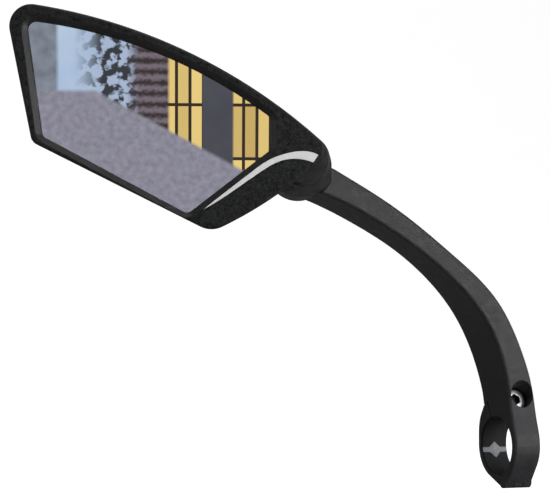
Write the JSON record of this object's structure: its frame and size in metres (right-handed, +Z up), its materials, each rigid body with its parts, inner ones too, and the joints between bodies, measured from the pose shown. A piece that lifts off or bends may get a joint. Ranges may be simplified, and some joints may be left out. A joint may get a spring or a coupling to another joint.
{
  "type": "handlebar mirror",
  "caption": "Handlebar mirror with a hinged bar clamp, curved arm, lockable ball joint and a five-sided framed mirror head.",
  "frame": {"origin": "centre of the clamp bore, midway along it", "axes": "+X along the handlebar (the head is on the -X side), -Y towards the rider who looks into the glass, +Z up"},
  "size_m": [0.2119, 0.0489, 0.178],
  "materials": {
    "matte_black": "fine spark-eroded grain",
    "rubber_black": "soft, slightly dusty",
    "rubber_grey": "soft",
    "black_steel": "plated, light tool marks",
    "black_oxide": "black oxide",
    "chrome_steel": "polished",
    "white_inlay": "smooth",
    "clear_glass": "clear",
    "silver": "mirror",
    "brass": "turned",
    "foam": "open cell",
    "acetal": "smooth"
  },
  "bodies": {
    "arm_body": {"arm": "matte_black", "arm_liner": "rubber_black", "hinge_pin": "black_oxide", "bolt_washer": "black_steel", "stud_washer": "black_steel", "arm_cap": "matte_black"},
    "stud_body": {"ball_stud": "chrome_steel", "stud_nut": "black_steel"},
    "cup_body": {"friction_cup": "acetal"},
    "head_body": {"housing_shell": "matte_black", "bezel": "matte_black", "bezel_gasket": "rubber_black", "mirror_glass": "clear_glass", "mirror_silvering": "silver", "foam_tape": "foam", "glass_carrier": "matte_black", "accent_stripe": "white_inlay", "pressure_plate": "acetal", "disc_spring": "black_steel", "spring_retainer": "matte_black", "housing_screws": "black_steel"},
    "strap_body": {"strap": "matte_black", "strap_liner": "rubber_black", "grip_pad": "rubber_grey", "thread_insert": "brass"},
    "bolt_body": {"clamp_bolt": "chrome_steel"}
  },
  "joints": [
    {"name": "mirror_roll", "type": "hinge", "parent": "arm_body", "child": "stud_body", "pos_m": [-0.0989, -0.0175, 0.1075], "axis": [0.3338, 0.9426, 0], "range_deg": [-60, 60]},
    {"name": "mirror_pitch", "type": "hinge", "parent": "stud_body", "child": "cup_body", "pos_m": [-0.0989, -0.0175, 0.1075], "axis": [0.9336, -0.3584, 0], "range_deg": [-26, 15]},
    {"name": "mirror_yaw", "type": "hinge", "parent": "cup_body", "child": "head_body", "pos_m": [-0.0989, -0.0175, 0.1075], "axis": [-0.0375, -0.0976, 0.9945], "range_deg": [-24, 24]},
    {"name": "strap_open", "type": "hinge", "parent": "arm_body", "child": "strap_body", "pos_m": [0, -0.0045, -0.0144], "axis": [-1, 0, 0], "range_deg": [0, 60]},
    {"name": "bolt_withdraw", "type": "slide", "parent": "arm_body", "child": "bolt_body", "axis": [0, -0.9205, 0.3907], "range_m": [0, 0.03]}
  ],
  "couplings": [
    {"joint": "bolt_withdraw", "follows": "strap_open", "m_per_rad": 0.0286}
  ]
}
